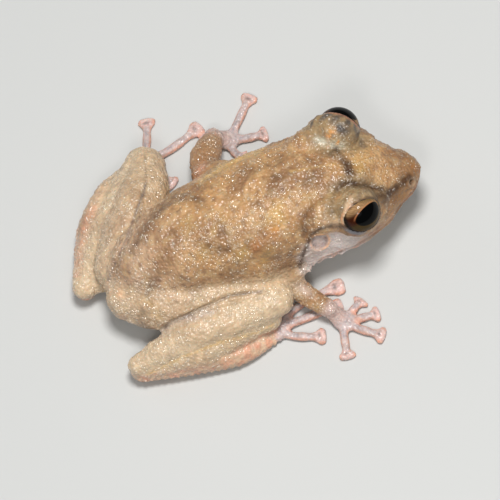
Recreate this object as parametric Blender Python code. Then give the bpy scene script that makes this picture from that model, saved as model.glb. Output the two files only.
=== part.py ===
"""Common coqui (Eleutherodactylus coqui), life size, sitting with its hind legs folded.

+X is forward, +Y is the frog's left and +Z is up. The floor is z = 0, and the origin lies on the flat of
the belly under the middle of the trunk. Sizes are in millimetres, and solid() turns them into metres.
"""

from math import cos, pi, radians, sin, tan

import bmesh
import bpy
import numpy as np
from mathutils import Matrix, Vector

MM = 0.001
GAP = 0.3  # between two pieces that touch
SNOUT, VENT = 23.45, -14.9  # the two ends of the body, measured along the spine from the belly's flat
NECK = 7.0  # where the head leaves the torso
HEAD_TURN = radians(8.2)  # the head is turned this far to the frog's right
TURN_FROM, TURN_TO = 6.0, 11.0  # the stretch of spine that bends

# Cross-sections of trunk and head: place along the spine, half width, top, level of the widest line, bottom,
# and how much narrower the back is than a plain superellipse.
BODY = np.array([
    (VENT, 0.0, 5.6, 5.0, 4.4, 0.2),
    (-14.3, 1.9, 7.2, 5.1, 3.1, 0.22),
    (-12.6, 3.7, 9.2, 5.3, 1.8, 0.22),
    (-10.0, 5.0, 11.2, 5.5, 0.8, 0.22),
    (-6.0, 6.2, 12.8, 5.7, -0.2, 0.22),
    (-1.5, 6.9, 13.4, 5.9, -0.3, 0.22),
    (2.5, 7.5, 13.6, 6.1, -0.2, 0.18),
    (7.0, 7.15, 13.7, 6.2, 1.8, 0.07),
    (11.0, 6.95, 13.8, 6.1, 3.2, 0.1),
    (15.5, 6.35, 13.1, 6.3, 4.0, 0.16),
    (18.4, 5.1, 11.9, 6.7, 4.7, 0.2),
    (20.2, 3.7, 10.9, 7.0, 5.3, 0.22),
    (21.5, 2.65, 10.0, 7.2, 5.8, 0.24),
    (22.6, 1.8, 9.2, 7.4, 6.4, 0.24),
    (23.2, 0.9, 8.6, 7.6, 7.0, 0.2),
    (SNOUT, 0.0, 8.0, 7.7, 7.4, 0.2),
])
BACK_SQUARE, BELLY_SQUARE = 2.5, 2.2  # superellipse exponents above and below the widest line

EYE_RADIUS = 2.4
EYE_AT = (15.7, 5.3, 11.8)  # along the spine, out from the middle, up
EYE_LOOKS = (radians(61), radians(34))  # out from straight ahead, and up
LID_RADII = (2.95, 2.8, 2.75)
LID_IN, LID_DOWN = 0.3, 0.05  # the lids' middle lies this far in and down from the eye's
TEMPLE_AT, TEMPLE_RADII = (12.9, 4.3, 11.3), (4.2, 2.3, 2.3)  # the swelling behind an eye
CHEEK_AT, CHEEK_RADII = (15.2, 4.0, 9.4), (3.8, 2.6, 2.6)  # the flesh that carries an eye
LID_OPENING = (radians(60), radians(48))  # half angles along and across the slit
NOSTRIL = (22.1, 8.9, 0.34)  # along the spine, height, radius
EARDRUM = (10.4, 9.6, 1.05)  # along the spine, height, radius
EARDRUM_THICK = 0.6
MOUTH = np.array([(9.0, 4.6), (9.4, 5.5), (12.0, 5.9), (16.0, 6.3), (20.0, 6.9), (25.0, 7.5)])
LIP_RADIUS, LIP_PROUD = 0.5, 0.14
LIP_RISE = 0.5  # height of the lips' middle above and below the line of the mouth
BEYOND = 40  # half the side of a block that reaches past the whole animal
HEAD_BEYOND = 12  # the same for the head

# Each limb is a list of stations: x, y, z, half width, half height. The pose isn't the same on both sides.
LIMBS = {
    "left": {
        "upper_arm": [(5.6, 4.6, 6.4, 1.9, 2.0), (2.6, 7.2, 5.6, 1.7, 1.8), (0.4, 8.7, 4.6, 1.4, 1.4)],
        "forearm": [(0.4, 8.8, 4.5, 1.0, 1.0), (1.5, 11.4, 3.3, 1.7, 1.5), (3.1, 13.9, 1.9, 1.15, 1.05)],
        "hand": [(3.1, 13.9, 1.6, 0.9, 0.8), (4.6, 13.4, 0.75, 1.25, 0.8), (5.3, 13.3, 0.6, 1.0, 0.65)],
        "thigh": [(-12.4, 2.0, 5.3, 2.7, 3.0), (-9.3, 5.5, 5.6, 3.1, 3.3), (-6.5, 9.3, 5.3, 2.8, 2.9),
                  (-5.0, 12.0, 4.9, 2.1, 2.2)],
        "shank": [(-5.6, 13.0, 4.4, 1.9, 1.9), (-10.6, 8.1, 4.6, 2.2, 2.2), (-16.7, 2.3, 2.9, 1.45, 1.6)],
        "foot": [(-16.8, 2.7, 1.7, 1.3, 1.6), (-13.8, 8.9, 1.9, 1.5, 1.8), (-8.9, 12.8, 1.4, 1.5, 1.35),
                 (-5.3, 14.9, 0.65, 1.3, 0.7)],
    },
    "right": {
        "upper_arm": [(5.8, -4.6, 6.2, 1.8, 1.9), (5.4, -6.6, 4.8, 1.6, 1.7), (4.9, -7.2, 3.2, 1.3, 1.3)],
        "forearm": [(4.9, -7.3, 3.2, 1.0, 1.0), (6.2, -9.4, 2.7, 1.25, 1.15), (7.8, -11.6, 1.9, 1.0, 0.9)],
        "hand": [(7.8, -11.6, 1.6, 0.85, 0.8), (8.5, -12.9, 0.75, 1.2, 0.8), (8.6, -13.6, 0.6, 1.0, 0.65)],
        "thigh": [(-12.4, -2.2, 5.2, 2.7, 2.9), (-9.0, -4.7, 5.6, 3.1, 3.2), (-3.5, -6.2, 5.5, 2.6, 2.7),
                  (2.6, -8.0, 4.4, 1.9, 2.0)],
        "shank": [(2.6, -9.2, 4.4, 1.8, 1.8), (-5.5, -9.2, 4.7, 2.2, 2.2), (-14.2, -9.4, 2.9, 1.45, 1.6)],
        "foot": [(-14.3, -9.5, 1.7, 1.3, 1.6), (-8.5, -10.9, 1.9, 1.5, 1.8), (-3.5, -11.7, 1.4, 1.6, 1.35),
                 (1.4, -10.7, 0.65, 1.35, 0.7)],
    },
}
# Each digit: the angle at which it leaves the palm or sole, from +X towards +Y, and the place of its tip.
FINGERS = {
    "left": [(-100, 5.3, 10.7), (-20, 8.8, 12.5), (45, 8.8, 17.7), (150, 1.7, 15.1)],
    "right": [(25, 11.4, -11.3), (-15, 12.6, -13.6), (-50, 12.2, -16.4), (-105, 7.5, -17.2)],
}
TOES = {
    "left": [(-95, -8.9, 9.5), (-75, -5.9, 9.7), (-50, -3.1, 11.0), (0, 2.2, 16.6), (55, -3.2, 19.9)],
    "right": [(110, -2.4, -7.7), (85, 1.9, -6.9), (35, 10.3, -8.7), (0, 9.2, -10.9), (-45, 6.1, -13.6)],
}
# How far back along the foot each toe leaves it: the inner toes leave first.
TOE_BACK = (3.6, 2.0, 0.5, 0.0, 0.3)
# A digit along its length: half width and half height, with the truncated disc at its end.
DIGIT = np.array([(0.0, 0.5, 0.45), (0.4, 0.46, 0.42), (0.76, 0.43, 0.4), (0.87, 0.7, 0.4), (0.96, 0.95, 0.4)])
DIGIT_ARCH = 0.62  # height of a digit's middle line along its stalk
DISC_SINK = 0.34  # height of the disc's middle line, so that its underside makes a flat on the floor

SKIN_BACK, SKIN_LEG = (0.44, 0.29, 0.18), (0.50, 0.38, 0.25)
SKIN_DIGIT, SKIN_JAW = (0.62, 0.37, 0.30), (0.52, 0.44, 0.40)
EYE_COLOUR, DRUM_COLOUR = (0.05, 0.025, 0.012), (0.48, 0.33, 0.26)


def smooth(at, values, x):
    """Monotone cubic through the stations, so that no size overshoots between two of them."""
    at, values, x = np.asarray(at, float), np.asarray(values, float), np.asarray(x, float)
    step = np.diff(at)
    slope = np.diff(values) / step
    before, after = slope[:-1], slope[1:]
    both = before * after > 0
    middle = np.where(both, 2 * before * after / np.where(both, before + after, 1), 0)
    tangent = np.concatenate([slope[:1], middle, slope[-1:]])
    i = np.clip(np.searchsorted(at, x, side="right") - 1, 0, len(step) - 1)
    t = (x - at[i]) / step[i]
    rise = values[i + 1] - values[i]
    a = tangent[i] * step[i] - rise
    b = rise - tangent[i + 1] * step[i]
    return values[i] + t * rise + t * (1 - t) * ((1 - t) * a + t * b)


def spine(along):
    """(x, y, heading) of the spine, whose heading turns evenly over the neck."""
    fine = np.linspace(TURN_FROM, TURN_TO, 60)
    share = np.clip((np.asarray(along, float) - TURN_FROM) / (TURN_TO - TURN_FROM), 0, 1)
    heading = -HEAD_TURN * share
    bends = -HEAD_TURN * (fine - TURN_FROM) / (TURN_TO - TURN_FROM)
    length = fine[1] - fine[0]
    x = TURN_FROM + np.concatenate([[0], np.cumsum(np.cos(bends[1:]) * length)])
    y = np.concatenate([[0], np.cumsum(np.sin(bends[1:]) * length)])
    over = np.maximum(np.asarray(along, float) - TURN_TO, 0)
    inside = np.clip(along, TURN_FROM, TURN_TO)
    under = np.minimum(np.asarray(along, float) - TURN_FROM, 0)
    px = np.interp(inside, fine, x) + under + over * cos(HEAD_TURN)
    py = np.interp(inside, fine, y) - over * sin(HEAD_TURN)
    return px, py, heading


def place(along, out, up):
    """World point of a place given along the spine, out to the frog's left, and up."""
    x, y, heading = spine(along)
    return np.stack([x - np.sin(heading) * out, y + np.cos(heading) * out, up + 0 * x], axis=-1)


def section(along, angle, grow=0.0):
    """(out, up) of the skin at an angle, from 0 at the left widest line over 90 degrees at the back."""
    half, top, wide, bottom, narrower = (smooth(BODY[:, 0], BODY[:, i], along) for i in range(1, 6))
    above = np.sin(angle) >= 0
    power = np.where(above, 2 / BACK_SQUARE, 2 / BELLY_SQUARE)
    side = np.sign(np.cos(angle)) * np.abs(np.cos(angle)) ** power
    rise = np.sign(np.sin(angle)) * np.abs(np.sin(angle)) ** power
    taper = 1 - narrower * np.where(above, rise, 0) ** 2
    tall = np.where(above, top - wide, wide - bottom)
    return side * (half + grow) * taper, wide + rise * (tall + grow)


def skin_at(along, height, side):
    """Point of the head's skin at a height above the lips, and its outward direction."""
    angles = np.linspace(0, pi / 2, 400)
    out, up = section(along, angles)
    angle = float(np.interp(height, up, angles))

    def point(s, a):
        o, u = section(s, a)
        return place(s, side * o, u)

    step = 0.02
    across = point(along, angle + step) - point(along, angle - step)
    ahead = point(along + step, angle) - point(along - step, angle)
    normal = np.cross(across, ahead) * side
    return Vector(point(along, angle)), Vector(normal).normalized()


def solid(name, points, faces):
    """A mesh object of points in millimetres."""
    mesh = bpy.data.meshes.new(name)
    mesh.from_pydata((np.asarray(points, float) * MM).tolist(), [], [list(f) for f in faces])
    mesh.update()
    piece = bpy.data.objects.new(name, mesh)
    bpy.context.scene.collection.objects.link(piece)
    return piece


def ringed(name, rings):
    """Closes a stack of rings, as an array of rings by sides by 3, with a fan at each end."""
    count, sides = rings.shape[:2]
    points = np.concatenate([rings.reshape(-1, 3), [rings[0].mean(axis=0)], [rings[-1].mean(axis=0)]])
    faces = []
    for i in range(count - 1):
        for j in range(sides):
            k = (j + 1) % sides
            faces.append((i * sides + j, i * sides + k, (i + 1) * sides + k, (i + 1) * sides + j))
    first, last = count * sides, count * sides + 1
    faces += [(first, (j + 1) % sides, j) for j in range(sides)]
    end = (count - 1) * sides
    faces += [(last, end + j, end + (j + 1) % sides) for j in range(sides)]
    piece = solid(name, points, faces)
    outward(piece)
    return piece


def outward(piece):
    mesh = bmesh.new()
    mesh.from_mesh(piece.data)
    bmesh.ops.recalc_face_normals(mesh, faces=mesh.faces)
    mesh.to_mesh(piece.data)
    mesh.free()


def body(name, start, end, rings, sides, grow=0.0):
    """The trunk or the head: superelliptic sections along the spine, closer together where an end is round."""
    share = (1 - np.cos(np.linspace(0, pi, rings))) / 2
    along = start + (end - start) * share
    angles = np.linspace(0, 2 * pi, sides, endpoint=False)
    s, a = np.meshgrid(along, angles, indexing="ij")
    round_off = 1e-3 * (end - start)
    s = np.clip(s, VENT + round_off, SNOUT - round_off)
    out, up = section(s, a, grow)
    if grow and start == VENT:
        along = along - grow * (1 - share)
    return ringed(name, place(np.repeat(along[:, None], sides, axis=1), out, up))


def limb(name, stations, rings=14, sides=14, grow=0.0, square=2.0, blunt=1.0):
    """A bent limb with round ends. Each station is x, y, z, half width and half height."""
    rows = np.asarray(stations, float)
    reach = np.concatenate([[0], np.cumsum(np.linalg.norm(np.diff(rows[:, :3], axis=0), axis=1))])
    cap = blunt * (rows[[0, -1], 3] + rows[[0, -1], 4]) / 2
    share = (1 - np.cos(np.linspace(0, pi, rings))) / 2
    ends = np.array([-cap[0] - grow, reach[-1] + cap[1] + grow])
    along = ends[0] + (ends[1] - ends[0]) * (0.002 + 0.996 * share)
    inside = np.clip(along, 0, reach[-1])
    centre, wide, tall = path_of(rows, reach, inside)
    ahead = path_of(rows, reach, np.clip(inside + 0.05, 0, reach[-1]))[0]
    behind = path_of(rows, reach, np.clip(inside - 0.05, 0, reach[-1]))[0]
    forward = ahead - behind
    forward /= np.linalg.norm(forward, axis=1)[:, None]
    centre = centre + forward * (along - inside)[:, None]
    beyond = np.abs(along - inside) / np.where(along < 0, cap[0] + grow, cap[1] + grow)
    swell = np.sqrt(np.clip(1 - beyond**2, 0, 1))[:, None, None]
    across = np.cross([0, 0, 1.0], forward)
    across /= np.linalg.norm(across, axis=1)[:, None]
    upward = np.cross(forward, across)
    angles = np.linspace(0, 2 * pi, sides, endpoint=False)
    c = np.sign(np.cos(angles)) * np.abs(np.cos(angles)) ** (2 / square)
    s = np.sign(np.sin(angles)) * np.abs(np.sin(angles)) ** (2 / square)
    side = c[None, :, None] * across[:, None, :] * (wide + grow)[:, None, None]
    rise = s[None, :, None] * upward[:, None, :] * (tall + grow)[:, None, None]
    return ringed(name, centre[:, None, :] + swell * (side + rise))


def path_of(rows, reach, at):
    """(centre, half width, half height) at distances along a limb."""
    centre = np.stack([smooth(reach, rows[:, i], at) for i in range(3)], axis=-1)
    return centre, smooth(reach, rows[:, 3], at), smooth(reach, rows[:, 4], at)


def ball(name, centre, radii, segments=20, turn=None):
    """An ellipsoid, turned by a rotation matrix if one is given."""
    mesh = bpy.data.meshes.new(name)
    work = bmesh.new()
    bmesh.ops.create_uvsphere(work, u_segments=segments, v_segments=segments * 3 // 5, radius=1)
    stretch = Matrix.Diagonal((*(Vector(radii) * MM), 1))
    bmesh.ops.transform(work, matrix=stretch, verts=work.verts)
    if turn is not None:
        bmesh.ops.transform(work, matrix=turn.to_4x4(), verts=work.verts)
    bmesh.ops.translate(work, vec=Vector(centre) * MM, verts=work.verts)
    work.to_mesh(mesh)
    work.free()
    piece = bpy.data.objects.new(name, mesh)
    bpy.context.scene.collection.objects.link(piece)
    return piece


def cone(name, start, axis, across, length, radii, sides=18, first=0.02):
    """An elliptical cone from start along axis. radii are those of its far end."""
    other = axis.cross(across).normalized()
    angles = np.linspace(0, 2 * pi, sides, endpoint=False)
    rings = []
    for share in (first, 1.0):
        centre = start + axis * length * share
        offset = [across * radii[0] * cos(t) + other * radii[1] * sin(t) for t in angles]
        rings.append([centre + share * o for o in offset])
    return ringed(name, np.array(rings, float))


def combine(piece, other, operation):
    """Applies one Boolean to the piece and removes the other object."""
    step = piece.modifiers.new(operation.lower(), "BOOLEAN")
    step.operation, step.solver, step.object = operation, "EXACT", other
    graph = bpy.context.evaluated_depsgraph_get()
    done = bpy.data.meshes.new_from_object(piece.evaluated_get(graph))
    piece.modifiers.clear()
    piece.data = done
    bpy.data.objects.remove(other)


def keep_largest(piece):
    """Drops every closed surface but the one of the greatest volume."""
    mesh = bmesh.new()
    mesh.from_mesh(piece.data)
    left, found = set(mesh.faces), []
    while left:
        queue = [left.pop()]
        group = set(queue)
        while queue:
            edges = [edge for edge in queue.pop().edges if len(edge.link_faces) == 2]
            near = {face for edge in edges for face in edge.link_faces} - group
            group |= near
            queue += near
        left -= group
        volume = sum(f.calc_area() * f.normal.dot(f.calc_center_median()) for f in group)
        found.append((abs(volume), group))
    largest = max(found, key=lambda item: item[0])[1]
    bmesh.ops.delete(mesh, geom=[f for f in mesh.faces if f not in largest], context="FACES")
    mesh.to_mesh(piece.data)
    mesh.free()


def finish(piece, colour, roughness=0.35):
    """Smooth shading and the piece's own material."""
    keep_largest(piece)
    piece.data.shade_smooth()
    piece.data.set_sharp_from_angle(angle=radians(40))
    paint = bpy.data.materials.new(piece.name)
    paint.use_nodes = True
    shader = paint.node_tree.nodes["Principled BSDF"]
    shader.inputs["Base Color"].default_value = (*colour, 1)
    shader.inputs["Roughness"].default_value = roughness
    shader.inputs["Metallic"].default_value = 0
    piece.data.materials.clear()
    piece.data.materials.append(paint)
    return piece


def cut_floor(piece):
    """Makes the small flats that the frog rests on."""
    ends = (-BEYOND, BEYOND)
    corners = [(x, y, z) for x in ends for y in ends for z in (-BEYOND, 0)]
    sides = [(0, 1, 3, 2), (4, 6, 7, 5), (0, 4, 5, 1), (2, 3, 7, 6), (0, 2, 6, 4), (1, 5, 7, 3)]
    floor = solid("floor", corners, sides)
    outward(floor)
    combine(piece, floor, "DIFFERENCE")


def mouth_block(name, shift):
    """What lies below the line of the mouth and ahead of the throat, moved by shift along and up."""
    low, ahead = -HEAD_BEYOND, MOUTH[-1, 0]
    along = np.concatenate([np.linspace(MOUTH[0, 0], MOUTH[1, 0], 4), np.linspace(MOUTH[1, 0], ahead, 10)[1:]])
    line = np.stack([along, smooth(MOUTH[:, 0], MOUTH[:, 1], along)], axis=-1)
    profile = np.concatenate([[(line[0, 0], low)], line, [(ahead, low)]])
    profile[:-1, 0] -= shift
    profile[1:-1, 1] += shift
    sides = [place(profile[:, 0], reach + 0 * profile[:, 0], profile[:, 1]) for reach in (-HEAD_BEYOND, HEAD_BEYOND)]
    return ringed(name, np.array(sides))


def lip(name, rise):
    """A low roll of skin along the edge of a jaw, from one corner of the mouth round the snout to the other."""
    half = np.linspace(MOUTH[1, 0] + 0.6, SNOUT - 0.05, 16)
    along = np.concatenate([half, half[-2::-1]])
    side = np.concatenate([np.ones(len(half)), -np.ones(len(half) - 1)])
    level = smooth(MOUTH[:, 0], MOUTH[:, 1], along) + rise
    wide = smooth(BODY[:, 0], BODY[:, 1], along)
    centre = place(along, side * (wide - LIP_RADIUS + LIP_PROUD), level)
    centre[len(half) - 1] = place(SNOUT - LIP_RADIUS + LIP_PROUD, 0, level[len(half) - 1])
    rows = np.concatenate([centre, np.full((len(centre), 2), LIP_RADIUS)], axis=1)
    return limb(name, rows, rings=32, sides=6)


def eye_frame(side):
    """(centre, optical axis, direction along the slit) of an eye."""
    along, out, up = EYE_AT
    centre = Vector(place(along, side * out, up))
    turn, lift = EYE_LOOKS
    heading = -HEAD_TURN + side * turn
    axis = Vector((cos(lift) * cos(heading), cos(lift) * sin(heading), sin(lift)))
    ahead = Vector((cos(-HEAD_TURN), sin(-HEAD_TURN), 0))
    return centre, axis, (ahead - axis * ahead.dot(axis)).normalized()


def make_head():
    head = body("head", NECK + GAP / 2, SNOUT, 24, 26)
    combine(head, mouth_block("below", GAP / 2), "DIFFERENCE")
    keep_largest(head)
    combine(head, lip("upper_lip", LIP_RISE), "UNION")
    for side in (1, -1):
        centre, axis, _ = eye_frame(side)
        middle = centre - Vector((axis.x, axis.y, 0)).normalized() * LID_IN - Vector((0, 0, LID_DOWN))
        combine(head, ball("lid", middle, LID_RADII, 16), "UNION")
        for (along, out, up), radii in ((TEMPLE_AT, TEMPLE_RADII), (CHEEK_AT, CHEEK_RADII)):
            combine(head, ball("swelling", place(along, side * out, up), radii, 14), "UNION")
    for side in (1, -1):
        centre, axis, slit = eye_frame(side)
        combine(head, ball("socket", centre, [EYE_RADIUS + GAP] * 3, 18), "DIFFERENCE")
        length = 1.6 * EYE_RADIUS
        radii = [length * tan(angle) for angle in LID_OPENING]
        combine(head, cone("opening", centre, axis, slit, length, radii), "DIFFERENCE")
        along, height, radius = NOSTRIL
        point, normal = skin_at(along, height, side)
        combine(head, ball("pit", point, [radius * 1.2, radius, radius], 8), "DIFFERENCE")
        drum, outside = skin_at(EARDRUM[0], EARDRUM[1], side)
        combine(head, disc("seat", drum, outside, EARDRUM[2] + GAP, EARDRUM_THICK + GAP), "DIFFERENCE")
    combine(head, mouth_block("below", GAP / 2), "DIFFERENCE")
    return finish(head, SKIN_BACK)


def disc(name, centre, normal, radius, depth):
    """A short round plug that ends a little above the skin and reaches the given depth into it."""
    side = normal.orthogonal().normalized()
    proud = 0.05 if name.startswith("tympanum") else 1.2
    start = centre - normal * depth
    axis = Vector(normal)
    angles = np.linspace(0, 2 * pi, 16, endpoint=False)
    other = axis.cross(side)
    rings = [[start + axis * h + radius * (side * cos(t) + other * sin(t)) for t in angles]
             for h in (0, depth + proud)]
    return ringed(name, np.array(rings, float))


def make_jaw():
    jaw = body("lower_jaw", NECK + GAP / 2, SNOUT, 20, 22)
    combine(jaw, mouth_block("keep", -GAP / 2), "INTERSECT")
    combine(jaw, lip("lower_lip", -LIP_RISE), "UNION")
    combine(jaw, above_mouth(), "DIFFERENCE")
    return finish(jaw, SKIN_JAW)


def above_mouth():
    """What lies above the line of the mouth, so that the lower lip stays under it."""
    along = np.linspace(MOUTH[0, 0] - 1, MOUTH[-1, 0], 12)
    line = smooth(MOUTH[:, 0], MOUTH[:, 1], np.maximum(along, MOUTH[0, 0])) - GAP / 2
    profile = np.concatenate([[(along[0], BEYOND)], np.stack([along, line], axis=-1), [(along[-1], BEYOND)]])
    sides = [place(profile[:, 0], reach + 0 * profile[:, 0], profile[:, 1]) for reach in (-HEAD_BEYOND, HEAD_BEYOND)]
    return ringed("above", np.array(sides))


def digit(name, root, start_angle, tip, grow=0.0):
    """A stalk that leaves the palm at an angle, bends to its tip and ends in a truncated disc."""
    root, tip = np.array(root), np.array(tip)
    reach = np.linalg.norm(tip - root)
    bend = root + 0.45 * reach * np.array([cos(start_angle), sin(start_angle)])
    t = DIGIT[:, 0][:, None]
    plan = (1 - t) ** 2 * root + 2 * t * (1 - t) * bend + t**2 * tip
    height = np.interp(DIGIT[:, 0], (0, 0.2, 0.75, 0.95), (0.7, DIGIT_ARCH, DIGIT_ARCH, DISC_SINK))
    rows = np.column_stack([plan, height, DIGIT[:, 1:]])
    return limb(name, rows, rings=12, sides=8, grow=grow, square=2.3, blunt=0.55)


def make_limbs(side, solids):
    """Every node of one side. Each is cut clear of the pieces that it leaves or lies against."""
    parts = LIMBS[side]
    order = [("upper_arm", ["torso", "head"]), ("forearm", ["upper_arm", "torso"]), ("hand", ["forearm"]),
             ("shank", ["torso", "upper_arm", "forearm"]), ("thigh", ["shank", "torso", "upper_arm"]),
             ("foot", ["shank", "thigh"])]
    sizes = {"thigh": (14, 14), "shank": (14, 12), "foot": (14, 10)}
    grown = {"torso": lambda: body("grown", VENT, NECK + 1.5, 22, 26, GAP),
             "head": lambda: body("grown", NECK, SNOUT, 24, 26, GAP)}
    for kind, stations in parts.items():
        rings, sides = sizes.get(kind, (9, 10))
        grown[kind] = lambda s=stations, r=rings, n=sides: limb("grown", s, r, n, GAP)
    for kind, clear_of in order:
        rings, sides = sizes.get(kind, (9, 10))
        piece = limb(f"{kind}_{side}", parts[kind], rings, sides)
        for other in clear_of:
            combine(piece, grown[other](), "DIFFERENCE")
        if kind in ("hand", "foot"):
            cut_floor(piece)
        solids.append(finish(piece, SKIN_DIGIT if kind == "hand" else SKIN_LEG))
    make_digits(side, solids, grown)


def make_digits(side, solids, grown):
    parts = LIMBS[side]
    palm, sole = np.array(parts["hand"][1][:2]), np.array(parts["foot"][-1][:2])
    heel = np.array(parts["foot"][-2][:2])
    back = (heel - sole) / np.linalg.norm(heel - sole)
    plans = [(f"finger_{i + 1}", palm, plan, "hand") for i, plan in enumerate(FINGERS[side])]
    plans += [(f"toe_{i + 1}", sole + back * TOE_BACK[i], plan, "foot") for i, plan in enumerate(TOES[side])]
    made = []
    for kind, centre, (angle, x, y), base in plans:
        angle = radians(angle)
        root = centre + 0.5 * np.array([cos(angle), sin(angle)])
        shape = (root, angle, (x, y))
        piece = digit(f"{kind}_{side}", *shape)
        combine(piece, grown[base](), "DIFFERENCE")
        for other in made:
            combine(piece, digit("grown", *other, GAP), "DIFFERENCE")
        cut_floor(piece)
        made.append(shape)
        solids.append(finish(piece, SKIN_DIGIT))


def main():
    for old in list(bpy.data.objects):
        bpy.data.objects.remove(old)
    torso = body("torso", VENT, NECK - GAP / 2, 22, 26)
    cut_floor(torso)
    solids = [finish(torso, SKIN_BACK), make_head(), make_jaw()]
    for side, sign in (("left", 1), ("right", -1)):
        centre, _, _ = eye_frame(sign)
        solids.append(finish(ball(f"eye_{side}", centre, [EYE_RADIUS] * 3, 16), EYE_COLOUR, 0.08))
        drum, outside = skin_at(EARDRUM[0], EARDRUM[1], sign)
        plug = disc(f"tympanum_{side}", drum, outside, EARDRUM[2], EARDRUM_THICK)
        solids.append(finish(plug, DRUM_COLOUR))
        make_limbs(side, solids)


main()
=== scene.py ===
# %% [markdown]
# # A common coqui at life size
#
# This lesson builds the looks of a small tree frog in layers. The CAD part underneath already fixes its
# size, its pose and where each limb lies. Here the flesh is poured into one skin, folded and wrinkled by
# height fields, coated with granules, painted, and given two wet eyes.

# %% Set up the workspace and the solid frame
from math import cos, pi, radians, sin

import bpy
import numpy as np
from mathutils import Matrix, Vector


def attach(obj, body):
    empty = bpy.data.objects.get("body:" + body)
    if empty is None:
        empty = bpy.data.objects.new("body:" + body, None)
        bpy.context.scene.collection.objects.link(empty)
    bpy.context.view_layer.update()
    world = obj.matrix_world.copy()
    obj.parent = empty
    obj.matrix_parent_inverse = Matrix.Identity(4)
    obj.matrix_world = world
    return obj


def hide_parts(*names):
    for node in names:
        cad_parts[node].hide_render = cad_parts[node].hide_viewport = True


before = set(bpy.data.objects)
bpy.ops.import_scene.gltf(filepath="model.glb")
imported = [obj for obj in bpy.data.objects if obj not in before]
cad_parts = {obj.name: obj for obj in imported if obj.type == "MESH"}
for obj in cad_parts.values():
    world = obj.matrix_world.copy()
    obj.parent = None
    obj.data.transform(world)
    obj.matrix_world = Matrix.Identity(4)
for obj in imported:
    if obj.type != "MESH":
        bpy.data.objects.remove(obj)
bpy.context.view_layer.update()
MM = 0.001
print("solid frame:", len(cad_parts), "parts")

# %% [markdown]
# ## Sizes of the animal
#
# Lengths are in millimetres, with x forward, y to the frog's left and z up from the floor. Trunk and head
# are a row of cross-sections along a spine that bends at the neck, and a limb is a row of ellipses.

# %% Cross-sections of the trunk and the head
SNOUT, VENT = 23.45, -14.9  # both ends of the body along the spine
HEAD_TURN = radians(8.2)
TURN_FROM, TURN_TO = 6.0, 11.0
# place along the spine, half width, top, level of the widest line, bottom, narrowing of the back
BODY = np.array([
    (VENT, 0.0, 5.6, 5.0, 4.4, 0.2), (-14.3, 1.9, 7.2, 5.1, 3.1, 0.22), (-12.6, 3.7, 9.2, 5.3, 1.8, 0.22),
    (-10.0, 5.0, 11.2, 5.5, 0.8, 0.22), (-6.0, 6.2, 12.8, 5.7, -0.2, 0.22),
    (-1.5, 6.9, 13.4, 5.9, -0.3, 0.22), (2.5, 7.5, 13.6, 6.1, -0.2, 0.18),
    (7.0, 7.15, 13.7, 6.2, 1.8, 0.07), (11.0, 6.95, 13.8, 6.1, 3.2, 0.1),
    (15.5, 6.35, 13.1, 6.3, 4.0, 0.16), (18.4, 5.1, 11.9, 6.7, 4.7, 0.2), (20.2, 3.7, 10.9, 7.0, 5.3, 0.22),
    (21.5, 2.65, 10.0, 7.2, 5.8, 0.24), (22.6, 1.8, 9.2, 7.4, 6.4, 0.24), (23.2, 0.9, 8.6, 7.6, 7.0, 0.2),
    (SNOUT, 0.0, 8.0, 7.7, 7.4, 0.2),
])
EYE_RADIUS, EYE_AT = 2.4, (15.7, 5.3, 11.8)
# the lids' opening faces this far out from straight ahead, and this far up
SLIT_LOOKS = {1: np.radians((55, 24)), -1: np.radians((66, 38))}
PUPIL_LOOKS = np.radians((53, 42))
SLIT_TILT = radians(-8)  # the front corner of the eye is lower than the rear one
NOSTRIL = (22.0, 8.55)  # along the spine, height
EARDRUM = (10.4, 9.6)  # along the spine, height
EARDRUM_SQUASH = (1, 1, 0.74)  # the ring is taller than it is long
MOUTH = np.array([(9.0, 4.6), (9.4, 5.5), (12.0, 5.9), (16.0, 6.3), (20.0, 6.9), (25.0, 7.5)])
print("snout to vent:", round(SNOUT - VENT, 1), "mm; eyeball", 2 * EYE_RADIUS, "mm across")

# %% Limbs, fingers and toes
SIDES = {1: "left", -1: "right"}
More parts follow.
